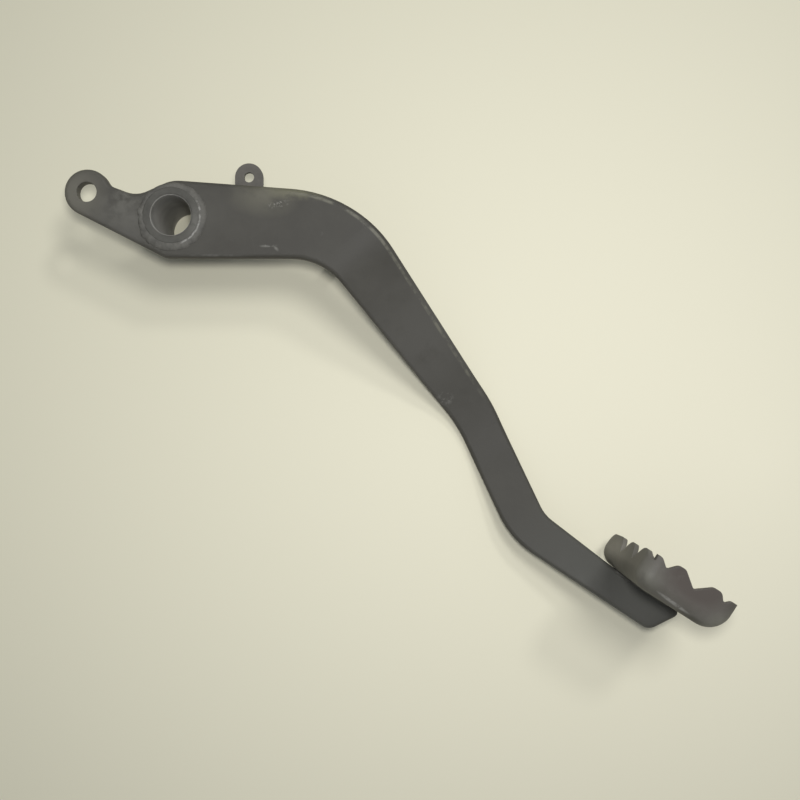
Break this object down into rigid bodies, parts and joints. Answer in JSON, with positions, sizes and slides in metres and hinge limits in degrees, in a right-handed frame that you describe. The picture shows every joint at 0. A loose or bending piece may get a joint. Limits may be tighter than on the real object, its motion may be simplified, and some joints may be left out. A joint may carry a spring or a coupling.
{
  "type": "rear brake pedal",
  "caption": "Welded steel motorbike brake pedal: a bent flat arm with a pivot tube, a lever eye for the brake linkage, a switch tab and a pressed toe tread with a notched rim.",
  "frame": {"origin": "on the pivot axis, at the boss's inboard end, which is also the level the pedal lies on", "axes": "+Z outboard along the pivot bore, +X along the arm's root towards the tread, +Y towards the switch tab"},
  "size_m": [0.2586, 0.1888, 0.07],
  "materials": {
    "paint": "worn satin black paint",
    "weld": "painted weld bead",
    "tread": "worn paint, rubbed grey"
  },
  "bodies": {
    "root": {"pedal_arm": "paint", "pivot_boss": "paint", "boss_weld_outer": "weld", "boss_weld_inner": "weld", "switch_tab": "paint", "tab_weld": "weld", "spring_peg": "paint", "peg_weld": "weld", "foot_tread": "tread", "tread_weld_outer": "weld", "tread_weld_inner": "weld"}
  },
  "joints": []
}
